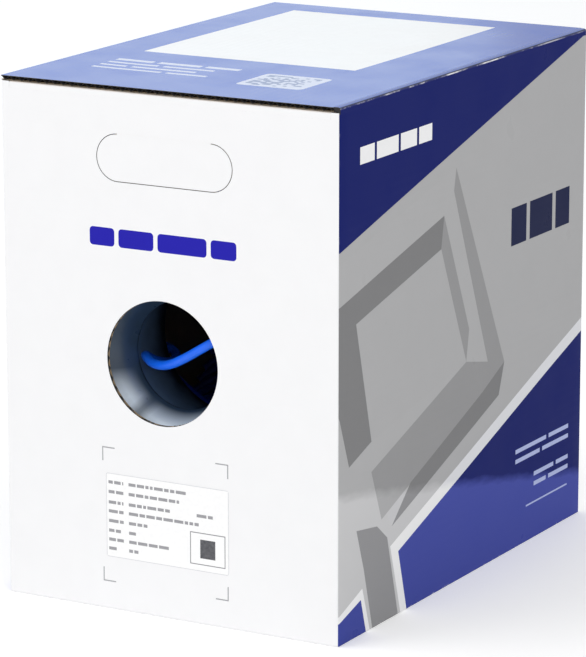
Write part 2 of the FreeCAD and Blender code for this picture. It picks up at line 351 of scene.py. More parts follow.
def print_shade(name, rgb, floor_sheen=None, rough=0.34, gloss=0.02, flutes="Z"):
    """Laminated print on board: satin film, flutes reading through, faint mottling and rubbed corners.
    An optional paler tone is what a side's print fades to low down, with a wavy edge across the flutes: a
    painted sheen standing in for the floor's reflection in the film."""
    n = Nodes(name)
    base = linear(rgb)
    tone = n.mix(n.ramp(n.noise(45, 4), 0.35, 0.7, 0.0, 0.10), base, scaled(base, 0.86))
    # painted sheen: the print turns paler low down, for the floor's reflection
    if floor_sheen:
        tone = n.mix(floor_sheen_mask(n), tone, linear(floor_sheen))
    n.set(Base_Color=n.mix(edge_rub(n), tone, linear(RUBBED)), Specular_IOR_Level=gloss)
    n.set(Roughness=n.ramp(n.noise(30, 5), 0.3, 0.75, rough * 0.8, rough * 1.3))
    strength = n.ramp(n.noise(7, 2, (1, 1, 3)), 0.4, 0.65)
    ribs = n.bump(n.times(n.wave(flutes, FLUTE_PITCH), strength), 0.6, 0.00006)
    n.grain(900, 2, 0.06, 0.00004, n.bump(n.noise(14, 1), 0.12, 0.0006, ribs))
    return n.material


def floor_sheen_mask(n):
    """Where the painted floor sheen lies: 1 low on a side wall and 0 above, with the change sloping down towards
    the back and slightly wavy.
    """
    height = n.math("ADD", n.axis("Z"), n.times(n.axis("Y"), 0.19))
    wavy = n.math("ADD", height, n.times(n.noise(60, 3, (1, 1, 3)), 7 * MM))
    step = n.ramp(wavy, 64 * MM, 71 * MM, 1.0, 0.0)
    return n.times(step, n.ramp(height, -30 * MM, 70 * MM, 0.75, 1.0), True)


def edge_rub(n):
    """Where print is rubbed pale: broken specks within a millimetre or so of the carton's edges."""
    reach = 0.55 * MM
    near = {}
    for name, low, high in (("X", -W / 2, W / 2), ("Y", -D / 2, D / 2), ("Z", 0.0, H)):
        middle, half = (low + high) / 2, (high - low) / 2
        off = n.math("ABSOLUTE", n.math("SUBTRACT", n.axis(name), middle))
        near[name] = n.ramp(off, half - reach * 2.2, half - reach * 0.3)
    xy, xz, yz = (n.times(near[a], near[b]) for a, b in ("XY", "XZ", "YZ"))
    edge = n.math("MAXIMUM", n.math("MAXIMUM", xy, xz), yz)
    return n.times(edge, n.ramp(n.noise(160, 5, rough=0.7), 0.56, 0.68, 0.0, 0.6), True)


def kraft_shade(name, rgb, fibre=(1, 1, 1)):
    """Uncoated brown paper: matte, flecked and fibrous."""
    n = Nodes(name)
    base = linear(rgb)
    tone = n.mix(n.ramp(n.noise(35, 6, rough=0.65), 0.3, 0.7), base, scaled(base, 1.1))
    fleck = n.times(n.ramp(n.noise(900, 3, fibre, 0.7), 0.62, 0.75), 0.5)
    n.set(Base_Color=n.mix(fleck, tone, scaled(base, 0.62)), Roughness=0.88, Specular_IOR_Level=0.25)
    n.grain(1400, 3, 0.35, 0.00008)
    return n.material


def wire_shade(name, rgb):
    """A wire's insulation: plastic with a faint grain and cloudy gloss."""
    n = Nodes(name)
    base = linear(rgb)
    n.set(Base_Color=n.mix(n.cloud(80, 3), base, scaled(base, 0.8)))
    n.set(Roughness=n.cloud(120, 4, 0.34, 0.5), IOR=1.5, Specular_Tint=SHEEN_TINT)
    n.grain(500, 2, 0.08, 0.00005)
    return n.material


def funnel_shade(name, rgb, pale):
    """Moulded plastic, glossier low down. Low by the mouth it carries painted light: pale patches on both sides
    of a painted shadow of the cable, a narrow darker line.
    """
    n = Nodes(name)
    base = linear(rgb)
    across, height = n.math("SUBTRACT", n.axis("X"), HOLE_X), n.math("SUBTRACT", n.axis("Z"), HOLE_Z)
    # painted light: pale patches low on the cone near the mouth, split by a painted cable shadow along a sloping
    # line
    low = n.ramp(height, -11 * MM, -29 * MM)
    near = n.ramp(n.axis("Y"), FRONT_Y + 27 * MM, FRONT_Y + 16 * MM)
    line = n.math("ADD", n.times(across, -0.82), n.times(height, 0.57))
    outside_cable_shadow = n.ramp(n.math("ABSOLUTE", line), 1 * MM, 7 * MM, 0.3, 1.0)
    painted_light = n.times(n.times(low, near), outside_cable_shadow, True)
    n.set(Base_Color=n.mix(painted_light, n.mix(n.cloud(80, 3), base, scaled(base, 0.85)), linear(pale)))
    n.set(Roughness=n.cloud(120, 4, 0.27, 0.36), Coat_Weight=n.ramp(height, 12 * MM, -16 * MM, 0.15, 1.0))
    n.set(Coat_Roughness=0.24, IOR=1.5, Specular_Tint=SHEEN_TINT)
    n.grain(300, 2, 0.05, 0.00004)
    return n.material


def tube_shade(name, rgb, deep):
    """The liner tube's plastic, darkened further in by painted shade, with faint random patches."""
    n = Nodes(name)
    lo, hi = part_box("payout_tube")
    inwards = n.ramp(n.axis("Y"), (lo.y + hi.y) / 2, hi.y)
    # painted shade: darker towards the inner end, plus faint random patches
    depth_shade_and_mottle = n.math("ADD", inwards, n.cloud(80, 3, 0.0, 0.15), True)
    n.set(Base_Color=n.mix(depth_shade_and_mottle, linear(rgb), linear(deep)), Roughness=n.cloud(120, 4, 0.45, 0.6))
    n.grain(400, 2, 0.06, 0.00004)
    return n.material


def crease_shade(name, low, high):
    """Print folded over the lid's crease, low to high, the high print painted a lighter blue as sheen: a dark
    line runs along the bend, with rubbed white streaks under it that die out towards the back."""
    n = Nodes(name)
    z = n.axis("Z")

    def band(start, full, fading, end):
        """1 in a band along the crease and 0 outside it, given in millimetres below the lid's face."""
        rise = n.ramp(z, H - start * MM, H - full * MM)
        return n.times(rise, n.ramp(z, H - fading * MM, H - end * MM, 1.0, 0.0))

    # painted sheen: the print above the bend is a lighter blue
    base = n.mix(n.ramp(z, H - 0.9 * MM, H - 0.7 * MM), linear(low), linear(high))
    streak = n.ramp(n.noise(34, 6, (1, 0.6, 1), 0.7), 0.45, 0.56)
    fade = n.ramp(n.axis("Y"), D * 0.1, D * 0.45, 1.0, 0.35)
    rubbed = n.times(n.times(band(2.1, 1.5, 0.8, 0.65), streak), fade)
    tone = n.mix(rubbed, base, linear((236, 236, 240)))
    n.set(Base_Color=n.mix(band(0.85, 0.7, 0.4, 0.25), tone, linear((50, 50, 62))))
    n.set(Roughness=0.4, Specular_IOR_Level=0.2)
    n.grain(220, 4, 0.5, 0.0003)
    return n.material


def jacket_shade(name, rgb):
    """Blue cable jacket: satin PVC with faint waviness from the twisted pairs inside."""
    n = Nodes(name)
    base = linear(rgb)
    n.set(Base_Color=n.mix(n.cloud(70, 3, 0, 0.5), base, scaled(base, 0.7)))
    n.set(Roughness=n.cloud(260, 3, 0.3, 0.45), Specular_IOR_Level=0.4)
    n.grain(160, 2, 0.25, 0.0003)
    return n.material


def copper_shade(name):
    """Copper-coated staple wire."""
    n = Nodes(name)
    n.set(Base_Color=n.mix(n.noise(300, 4), linear((184, 112, 74)), linear((140, 84, 56))))
    n.set(Metallic=1.0, Roughness=n.cloud(500, 3, 0.25, 0.45))
    n.grain(1500, 2, 0.2, 0.00004)
    return n.material


def paper_shade(name, rgb):
    """Matte sticker paper and the pale ink printed on it."""
    n = Nodes(name)
    n.set(Base_Color=n.mix(n.cloud(400, 4, 0, 0.12), linear(rgb), (0.6, 0.6, 0.6, 1)))
    n.set(Roughness=0.55, Specular_IOR_Level=0.4)
    n.grain(1800, 2, 0.15, 0.00004)
    return n.material


def kraft_liner():
    return shade("kraft_liner", kraft_shade, KRAFT)


# --- Flat outlines, in a panel's own plane ---
def rectangle(u0, v0, u1, v1):
    return [(u0, v0), (u1, v0), (u1, v1), (u0, v1)]


def circle(u, v, r):
    steps = 96
    ring = [polar(r, 2 * pi * i / steps) for i in range(steps)]
    return [(u + a, v + b) for a, b in ring]


def slot_outline(u, v, width, height):
    """A stadium, anticlockwise."""
    steps, r, half = 20, height / 2, width / 2 - height / 2
    right = [polar(r, -pi / 2 + pi * i / steps) for i in range(steps + 1)]
    return [(u + half + a, v + b) for a, b in right] + [(u - half - a, v - b) for a, b in right]


def rounded(u0, v0, u1, v1, r):
    """A rectangle with round corners, anticlockwise."""
    steps, out = 5, []
    corners = (u1 - r, v0 + r), (u1 - r, v1 - r), (u0 + r, v1 - r), (u0 + r, v0 + r)
    for k, (u, v) in enumerate(corners):
        arc = [polar(r, radians(90 * k - 90 + 90 * i / steps)) for i in range(steps + 1)]
        out += [(u + a, v + b) for a, b in arc]
    return out


def inside(point, outline):
    """Whether a point lies in an outline."""
    x, y = point
    found = False
    for (ax, ay), (bx, by) in zip(outline, outline[1:] + outline[:1]):
        if (ay > y) != (by > y) and x < ax + (y - ay) * (bx - ax) / (by - ay):
            found = not found
    return found


def spans(outlines, at, along_u):
    """Stretches of solid board on a line across the panel, between its outline and holes."""
    crossings = []
    for outline in outlines:
        for a, b in zip(outline, outline[1:] + outline[:1]):
            if along_u:
                a, b = (a[1], a[0]), (b[1], b[0])
            if (a[0] > at) != (b[0] > at):
                crossings.append(a[1] + (at - a[0]) * (b[1] - a[1]) / (b[0] - a[0]))
    crossings.sort()
    return list(zip(crossings[::2], crossings[1::2]))


class Sheet:
    """A flat printed sheet: an outline with holes, divided along a grid and its printed areas' edges."""

    def __init__(self, outline, holes=(), prints=(), cuts_u=()):
        self.bm = bmesh.new()
        loops = [outline, *holes]
        flat = [p for loop in loops for p in loop]
        verts = [self.bm.verts.new((u, v, 0)) for u, v in flat]
        for corners in tessellate_polygon([[Vector((u, v, 0)) for u, v in loop] for loop in loops]):
            self.bm.faces.new([verts[i] for i in corners])
        us, vs = [p[0] for p in outline], [p[1] for p in outline]
        for u in [*cuts_u, *steps_between(min(us), max(us), GRID)]:
            self.cut((u, 0), (1, 0))
        for v in steps_between(min(vs), max(vs), GRID):
            self.cut((0, v), (0, 1))
        self.bm.faces.ensure_lookup_table()
        self.names = list(dict.fromkeys(["face", *(name for name, area in prints)]))
        for name, area in prints:
            self.cut_round(area)
        for name, area in prints:
            for face in self.bm.faces:
                if inside(face.calc_center_median()[:2], area):
                    face.material_index = self.names.index(name)

    def cut(self, point, normal, geometry=None):
        geometry = geometry or (self.bm.verts[:] + self.bm.edges[:] + self.bm.faces[:])
        bmesh.ops.bisect_plane(self.bm, geom=geometry, dist=1e-7, plane_co=(*point, 0), plane_no=(*normal, 0))

    def cut_round(self, area):
        """Cuts the sheet along an area's edges, near that area only."""
        lo = [min(p[k] for p in area) - 1e-6 for k in (0, 1)]
        hi = [max(p[k] for p in area) + 1e-6 for k in (0, 1)]
        for a, b in zip(area, area[1:] + area[:1]):
            near = set()
            for face in self.bm.faces:
                spots = [v.co for v in face.verts]
                if all(max(p[k] for p in spots) > lo[k] and min(p[k] for p in spots) < hi[k] for k in (0, 1)):
                    near.update([face], face.edges, face.verts)
            if near:
                self.cut(a, (b[1] - a[1], a[0] - b[0]), list(near))


def steps_between(low, high, step):
    count = max(1, round((high - low) / step))
    return [low + (high - low) * i / count for i in range(1, count)]


def flat(u, v, w):
    """No dishing."""
    return u, v, w


class Piece:
    """Collects a mesh in a panel's plane: u across, v up and w out of the board's outer face."""

    def __init__(self, name, place, bend=flat):
        self.name, self.place, self.bend = name, place, bend
        self.verts, self.faces, self.marks, self.shades = [], [], [], []

    def shade(self, material):
        if material not in self.shades:
            self.shades.append(material)
        return self.shades.index(material)

    def point(self, u, v, w):
        u, v, w = self.bend(u, v, w)
        o, du, dv, dw = self.place
        self.verts.append(o + du * u + dv * v + dw * w)
        return len(self.verts) - 1

    def face(self, corners, mark):
        self.faces.append(corners)
        self.marks.append(mark)

    def slab(self, sheet, w_top, w_low, shades, back, side):
        """A sheet with thickness: its printed face, plain back and cut edges."""
        bm = sheet.bm
        bm.verts.index_update()
        bm.normal_update()
        top = [self.point(v.co.x, v.co.y, w_top) for v in bm.verts]
        low = [self.point(v.co.x, v.co.y, w_low) for v in bm.verts]
        marks = [self.shade(shades[n]) for n in sheet.names]
        back, side = self.shade(back), self.shade(side)
        for face in bm.faces:
            ring = [v.index for v in face.verts]
            self.face([top[i] for i in ring], marks[face.material_index])
            self.face([low[i] for i in reversed(ring)], back)
            for loop in face.loops:
                if len(loop.edge.link_faces) == 1:
                    a, b = loop.vert.index, loop.link_loop_next.vert.index
                    self.face([top[b], top[a], low[a], low[b]], side)

    def flutes(self, outlines, along_u, w_top, w_low, material):
        """The wavy medium, as strips that follow its wave and stop at the outline and holes."""
        mark = self.shade(material)
        across = [p[1] if along_u else p[0] for p in outlines[0]]
        step = FLUTE_PITCH / FLUTE_STEPS
        middle, swing = (w_top + w_low) / 2, (w_top - w_low - MEDIUM) / 2
        for i in range(int((max(across) - min(across)) / step)):
            a = min(across) + i * step
            for start, end in spans(outlines, a + step / 2, along_u):
                stops = [start, *steps_between(start, end, FLUTE_RUN), end]
                rings = [self.flute_ring(a, step, along, along_u, middle, swing) for along in stops]
                for low, high in zip(rings, rings[1:]):
                    self.face([low[0], high[0], high[1], low[1]], mark)
                    self.face([low[2], high[2], high[3], low[3]], mark)
                self.face(list(reversed(rings[0])), mark)
                self.face(rings[-1], mark)

    def flute_ring(self, a, step, along, along_u, middle, swing):
        """The four corners of one strip's section."""
        ring = []
        for at, shift in ((a, MEDIUM / 2), (a + step, MEDIUM / 2), (a + step, -MEDIUM / 2), (a, -MEDIUM / 2)):
            w = middle + swing * cos(2 * pi * at / FLUTE_PITCH) + shift
            u, v = (along, at) if along_u else (at, along)
            ring.append(self.point(u, v, w))
        return ring

    def skin(self, rings, marks, closed=False):
        """Sides between rings of points, with a mark for each. Open ends are capped with the last mark."""
        count = len(rings[0])
        for low, high in zip(rings, rings[1:] + rings[:closed]):
            for i in range(count):
                n = (i + 1) % count
                self.face([low[i], low[n], high[n], high[i]], marks[i])
        if not closed:
            self.face(list(reversed(rings[0])), marks[count])
            self.face(rings[-1], marks[count])

    def prism(self, section, start, end, materials):
        """A section in v and w pushed along u. There is a material for each side, and the ends' last."""
        stops = [start, *steps_between(start, end, GRID), end]
        rings = [[self.point(at, v, w) for v, w in section] for at in stops]
        self.skin(rings, [self.shade(material) for material in materials])

    def turned(self, profile, steps, mark):
        """A closed profile of (radius, depth) turned about the pull-out axis; place sets its middle."""
        turns = [2 * pi * i / steps for i in range(steps)]
        rings = [[self.point(*polar(r, a), -depth) for r, depth in profile] for a in turns]
        self.skin(rings, [mark] * len(profile), True)

    def strand(self, points, r, sides, mark, out):
        """A round strand along points, with its section turned towards out(point)."""
        rings = []
        for i, p in enumerate(points):
            along = (points[min(i + 1, len(points) - 1)] - points[max(i - 1, 0)]).normalized()
            side = along.cross(out(p)).normalized()
            up = side.cross(along)
            ring = []
            for k in range(sides):
                a = 2 * pi * (k + 0.5) / sides
                ring.append(self.point(*(p + side * (r * cos(a)) + up * (r * sin(a)))))
            rings.append(ring)
        self.skin(rings, [mark] * (sides + 1))

    def mesh(self):
        mesh = bpy.data.meshes.new(self.name)
        mesh.from_pydata(self.verts, [], self.faces)
        for material in self.shades:
            mesh.materials.append(material)
        mesh.polygons.foreach_set("material_index", self.marks)
        bm = bmesh.new()
        bm.from_mesh(mesh)
        bmesh.ops.recalc_face_normals(bm, faces=bm.faces)
        bm.to_mesh(mesh)
        bm.free()
        return mesh

    def finish(self, body=None, nodes=(), smooth=35):
        mesh = self.mesh()
        mesh.shade_smooth()
        mesh.set_sharp_from_angle(angle=radians(smooth))
        piece = add(self.name, mesh)
        if body:
            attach(piece, body)
        if nodes:
            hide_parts(*nodes)
        return piece


# --- Panels: how each board lies, and how far it is dished and folded ---
X, Y, Z = Vector((1, 0, 0)), Vector((0, 1, 0)), Vector((0, 0, 1))
FRONT = (Vector((-W / 2, -D / 2, 0)), X, Z, -Y)
BACK = (Vector((W / 2, D / 2, 0)), -X, Z, Y)
RIGHT = (Vector((W / 2, -D / 2, 0)), Y, Z, X)
LEFT = (Vector((-W / 2, D / 2, 0)), -Y, Z, -X)
TOP = (Vector((-W / 2, -D / 2, H)), X, Y, Z)


def window(at, length):
    """0 at a panel's edges, rising smoothly to 1 inside them."""
    t = max(0.0, min(1.0, min(at, length - at) / BOW_EDGE))
    return t * t * (3 - 2 * t)


def fold_drop(s):
    """How far the outer face turns in at a distance s from a folded corner."""
    return FOLD_R - sqrt(max(0.0, FOLD_R ** 2 - (FOLD_R - s) ** 2)) if s < FOLD_R else 0.0


PHASE = {"front": 0.4, "back": 2.1, "right": 1.2, "left": 3.3}
FOLD_START = FOLD_R * (1 - sqrt(0.5))     # each wall's liner runs to the middle of the corner's arc
FOLD_CUTS = [FOLD_R * (1 - sin(radians(a))) for a in (36, 27, 18, 9, 0)]


def dished(width, height, phase, folds_u=True):
    """The shape of a wall: slightly dished and uneven inside, its outer liner rounded into the corners."""
    def bend(u, v, w):
        wave = 0.25 * sin(u * 23 + phase) * cos(v * 17 - phase)
        ripple = 0.55 + wave + 0.2 * sin(v * 31 + u * 11)
        w -= BOW * ripple * window(u, width) * window(v, height)
        if folds_u and w > -BOARD / 2:
            w -= fold_drop(min(u, width - u))
        return u, v, w
    return bend


def corrugated(name, place, outline, along_u, body, node, shades, bend=flat, holes=(), prints=(),
               folds=(), inner_outline=None, medium=None):
    """A corrugated panel: printed outer liner, fluted medium and kraft inner liner, as one piece."""
    piece = Piece(name, place, bend)
    kraft, cut = kraft_liner(), shades["cut"]
    medium = medium or shade("kraft_medium", kraft_shade, KRAFT_DARK, (1, 6, 6))
    inner_outline = inner_outline or outline
    piece.slab(Sheet(outline, holes, prints, folds), 0.0, -LINER, shades, kraft, cut)
    piece.slab(Sheet(inner_outline, holes), LINER - BOARD, -BOARD, {"face": kraft}, kraft, cut)
    piece.flutes([inner_outline, *holes], along_u, -LINER, LINER - BOARD, medium)
    piece.finish(body, [node])


def wall_outlines(width, top, flap_start, flap_end):
    """A wall's outer and inner liner: low where a flap's crease joins it, full height beside that."""
    def outline(inset):
        start, end = max(flap_start, inset), min(flap_end, width - inset)
        points = [(inset, 0), (width - inset, 0)]
        if end < width - inset:
            points += [(width - inset, top), (end, top)]
        points += [(end, top - CREASE), (start, top - CREASE)]
        if start > inset:
            points += [(start, top), (inset, top)]
        return points
    folds = [c for s in FOLD_CUTS for c in (s, width - s)]
    return outline(FOLD_START), outline(BOARD), folds


# --- Prints ---
def corner_marks(u0, v0, u1, v1, arm, line):
    """Four L-shaped corner marks."""
    out = []
    for u, du in ((u0, 1), (u1, -1)):
        for v, dv in ((v0, 1), (v1, -1)):
            for wide, high in ((arm, line), (line, arm)):
                a, b = sorted((u, u + du * wide)), sorted((v, v + dv * high))
                out.append(rectangle(a[0], b[0], a[1], b[1]))
    return out


def from_top(points):
    """Points given right of a face's left edge and down from its top, in millimetres."""
    return [(u * MM, H - v * MM) for u, v in points]


def front_prints():
    """A plain blue bar device over the hole, and corner marks round the sticker."""
    bars = ((65.5, 84), (87, 113), (116, 152), (155, 173.7))
    marks = corner_marks(73 * MM, H - 327 * MM, 167.2 * MM, H - 236.5 * MM, 9.5 * MM, 0.8 * MM)
    return [*(("royal", rounded(start * MM, H - 104 * MM, end * MM, H - 92 * MM, 2.5 * MM))
              for start, end in bars), *(("mark", mark) for mark in marks)]


def right_prints():
    """Navy corners over grey, a plain mitred ring seen at an angle, a stripe, and plain blocks and bars."""
    depth = D / MM
    ring = [(0, 99), (159, 64), (233, 209.5), (225, 231), (72, 284), (43.7, 241), (13.7, 231), (0, 195)]
    areas = [      # painted in this order, each over those before it
        ("field", [(0, 86), (depth, -4), (depth, 347), (0, 347)]),
        ("border", [(depth, 203), (70, 297), (84, 345), (depth, 345)]),
        ("border", [(0, 326), (32, 315), (42, 345), (0, 345)]),
        ("light", ring),
        ("light", [(0, 99), (159, 64), (151, 88), (0, 124)]),
        ("dark", [(0, 126), (142.5, 93), (138.7, 114.5), (22.5, 140.5)]),
        ("dark", [(0, 126), (22.5, 140.5), (43.7, 221), (13.7, 231), (0, 195)]),
        ("mid", [(142.5, 93), (180, 176), (176, 197.5), (138.7, 114.5)]),
        ("field", [(22.5, 140.5), (138.7, 114.5), (176, 197.5), (43.7, 221)]),
        ("mid", [(43.7, 241), (176, 197.5), (233, 209.5), (200, 224), (58, 276)]),
        ("mid", [(159, 64), (233, 209.5), (208, 204.5), (156, 79)]),
        ("dark", [(97.5, 261), (200, 223.7), (233, 209.5), (225, 231), (72, 284)]),
        ("dark", [(24, 275), (34, 303), (46, 347), (81, 347), (66, 290), (52, 279)]),
        ("navy", [(0, -2), (depth, -2), (depth, 3), (0, 91.5)]),
        ("navy", [(depth, 212.5), (81, 303), (93, 347), (depth, 347)]),
        ("navy", [(0, 330.5), (30, 322), (37.5, 347), (0, 347)]),
    ]
    blocks = {
        "white": ((27, 29, 46, 40), (49, 29, 78, 40), (81, 29, 103, 40), (106, 29, 124, 40)),
        "ink": ((241, 106, 264, 132), (269, 106, 304, 132), (309, 106, 331, 132)),
        "pale": ((252, 276, 300, 279), (252, 283, 290, 286), (304, 276, 335, 279),
                 (294, 283, 335, 286), (281, 298, 312, 301), (316, 298, 335, 301),
                 (281, 305, 300, 308), (304, 305, 335, 308), (269, 319, 334, 320.2)),
    }
    for name, places in blocks.items():
        areas += [(name, rectangle(*place)) for place in places]
    return [(name, from_top(points)) for name, points in areas]


def top_prints():
    """A large white writing panel, pale bars and a patch of random dots."""
    def area(u0, v0, u1, v1):
        return rectangle(u0 * MM, D - v1 * MM, u1 * MM, D - v0 * MM)
    prints = [("white", area(31, 27, 190, 230))]
    rows = ((262, 268, ((32, 60), (64, 96), (100, 125))), (274, 278, ((32, 70), (74, 112))),
            (284, 288, ((32, 52), (56, 104))), (294, 298, ((32, 84), (88, 118))))
    for v0, v1, bars in rows:
        prints += [("patch", area(u0, v0, u1, v1)) for u0, u1 in bars]
    prints.append(("patch", rounded(147 * MM, D - 311 * MM, 195 * MM, D - 267 * MM, 4 * MM)))
    pick = random.Random(4)
    cell, gap, columns, first_u, first_v = 3.0, 0.3, 14, 151.0, 271.5
    for row in range(12):
        run = 0
        for column in range(columns):
            dark = column < columns - 1 and pick.random() < 0.42
            if dark:
                run += 1
            elif run:
                u1 = first_u + column * cell
                v0 = first_v + row * cell
                prints.append(("dot", area(u1 - run * cell, v0 + gap, u1 - gap, v0 + cell - gap)))
                run = 0
    return prints


# --- Walls ---
def print_set():
    """The materials of a panel's faces and cut edges. The side's prints grow paler low down, as a painted sheen
    of the floor reflected in their film.
    """
    shades = {name: shade("print_" + name, print_shade, rgb) for name, rgb in PLAIN_PRINTS.items()}
    for name, rgb in SIDE_PRINTS.items():
        floor_sheen = NAVY_FLOOR_SHEEN if name == "navy" else tuple(min(FLOOR_SHEEN_MOST, round(c * FLOOR_SHEEN_GAIN)) for c in rgb)
        shades[name] = shade("print_" + name, print_shade, rgb, floor_sheen)
    return dict(shades, face=shades["white"], cut=shade("cut_edge", kraft_shade, (122, 112, 100)))


def hand_cut(node):
    """A hand hold's middle, width and height, with the cut around its tongue."""
    lo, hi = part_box(node)
    return (lo.x + hi.x) / 2, (lo.z + hi.z) / 2, hi.x - lo.x + 2 * KERF, hi.z - lo.z + 2 * KERF


def end_walls():
    """The front and back walls, each with its hand hold."""
    # cut edges and flutes painted dark grey as shade
    shades = dict(print_set(), cut=shade("hole_cut", kraft_shade, SHADED_HOLE_CUT))
    medium = shade("hole_medium", kraft_shade, SHADED_HOLE_MEDIUM, (1, 6, 6))
    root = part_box("top_dust_flap_front")[0].x + W / 2
    outer, inner, folds = wall_outlines(W, HINGE_Z, root, W - root)
    for name, place, sign, prints in (("front", FRONT, 1, front_prints()), ("back", BACK, -1, [])):
        x, z, width, height = hand_cut(name + "_handle_flap")
        u = W / 2 + sign * x
        holes = [slot_outline(u, z, width, height)]
        if name == "front":
            holes.append(circle(W / 2 + HOLE_X, HOLE_Z, HOLE_R))
        bend = dished(W, H, PHASE[name])
        corrugated(name + "_wall_board", place, outer, True, "carton", name + "_panel", shades, bend, holes,
                   prints, folds=folds, inner_outline=inner, medium=medium)
        tongue = slot_outline(u, z, width - 2 * KERF, height - 2 * KERF)
        corrugated(name + "_hand_tongue", place, tongue, True, name + "_handle", name + "_handle_flap",
                   shades, bend)
        hand_crease(name, place, bend, u, z, width, height, shades["face"])


def hand_crease(name, place, bend, u, z, width, height, face):
    """The uncut liner along the top of a hand hold, where its tongue bends in."""
    piece = Piece(name + "_hand_crease", place, bend)
    top, half = z + height / 2, width / 2 - height / 2
    low, high, out = top - 1.6 * MM, top + 0.1 * MM, 0.04 * MM
    section = [(high, out), (low, out), (low, -LINER), (high, -LINER)]
    piece.prism(section, u - half, u + half, [face] + [kraft_liner()] * 4)
    crease = piece.finish(None, ())
    o, du, dv, dw = place
    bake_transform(crease)


def side_walls():
    """The printed long walls. The left one is lower, where the short flap's crease joins it."""
    shades = print_set()
    lo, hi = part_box("inner_top_flap")
    for name, place, top, prints, start, end in (
            ("right", RIGHT, H, right_prints(), 0, D),
            ("left", LEFT, HINGE_Z, mirror(right_prints(), D), D / 2 - hi.y, D / 2 - lo.y)):
        outer, inner, folds = wall_outlines(D, top, start, end)
        corrugated(name + "_wall_board", place, outer, True, "carton", name + "_panel", shades,
                   dished(D, H, PHASE[name]), (), prints, folds, inner)


def mirror(prints, width):
    """The same prints the other way round, as on the far side."""
    return [(name, [(width - u, v) for u, v in reversed(area)]) for name, area in prints]


# --- Flaps and their creases ---
def crease_strip(name, place, top, span, low, high, cap, low_sides=4):
    """The folded board between a wall and its flap, rounded outside: u runs along the crease, v up the wall
    and w out of it, and the flap lies inwards at the height top. Its first low_sides faces take the print
    low, and the others the print high."""
    piece = Piece(name, place)
    steps = 6
    arc = [(top - FOLD_R + FOLD_R * sin(a), FOLD_R * (cos(a) - 1))
           for a in (pi / 2 * i / steps for i in range(steps + 1))]
    tuck = 0.4 * MM        # overlap under the boards each side, so that no gap shows
    sink = 0.05 * MM
    section = [(top - CREASE - tuck, -sink), (top - CREASE, 0.0), *arc, (top, -CREASE),
               (top - sink, -CREASE - tuck), (top - BOARD, -CREASE), (top - BOARD, -BOARD),
               (top - CREASE, -BOARD)]
    high_sides = steps + 4 - low_sides
    piece.prism(section, *span, [low] * low_sides + [high] * high_sides + [kraft_liner()] * 4 + [cap])
    strip = piece.finish(None, ())
    o, du, dv, dw = place
    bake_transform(strip)


def lid():
    """The outer top flap, its flutes running with its crease, so that they end at the front edge."""
    # The lid's face is a painted sheen over navy: lighter and bluer than the sides' print.
    shades = dict(print_set(), face=shade("lid_navy", print_shade, TOP_NAVY_AND_SHEEN, None, 0.2, 0.5, "X"),
                  white=shade("lid_white", print_shade, PAPER_WHITE, None, 0.2, 0.5, "X"),
                  cut=shade("lid_cut", kraft_shade, SHADED_LID_CUT))
    # painted shade: the lid's cut edges and flutes are dark grey rather than kraft brown
    medium = shade("lid_medium", kraft_shade, SHADED_LID_MEDIUM, (6, 1, 6))
    corrugated("lid_board", TOP, rectangle(0, 0, W - CREASE, D), False, "lid", "lid_flap", shades,
               dished(W, D, 0.9, False), (), top_prints(), medium=medium)
    notch = 1.3 * MM
    crease_strip("lid_crease", RIGHT, H, (notch, D - notch), shades["navy"],
                 shade("crease_navy", crease_shade, NAVY, CREASE_NAVY_AND_SHEEN), medium, 2)


def top_flaps():
    """The short flap on the left wall and the two tapered dust flaps."""
    shades = print_set()
    face, cut = shades["face"], shades["cut"]
    lo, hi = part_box("inner_top_flap")
    outline = rectangle(CREASE, 0, hi.x + W / 2, hi.y - lo.y)
    corrugated("inner_flap_board", (Vector((-W / 2, lo.y, hi.z)), X, Y, Z), outline, False, "inner_flap",
               "inner_top_flap", shades)
    crease_strip("inner_flap_crease", LEFT, hi.z, (D / 2 - hi.y, D / 2 - lo.y),
                 shades["navy"], face, cut)
    for end, wall, sign in (("front", FRONT, 1), ("back", BACK, -1)):
        node, body = "top_dust_flap_" + end, end + "_dust"
        lo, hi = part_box(node)
        reach = D / 2 + hi.y if end == "front" else D / 2 - lo.y
        root = W / 2 + lo.x
        tip = root + DUST_TAPER * reach
        place = (Vector((-sign * W / 2, -sign * D / 2, hi.z)), X * sign, Y * sign, Z)
        side = (tip - root) * CREASE / reach
        outline = [(root + side, CREASE), (W - root - side, CREASE), (W - tip, reach), (tip, reach)]
        corrugated(body + "_board", place, outline, True, body, node, shades)
        gap = 0.05 * MM
        crease_strip(body + "_crease", wall, hi.z, (root + gap, W - root - gap), face, face,
                     cut)


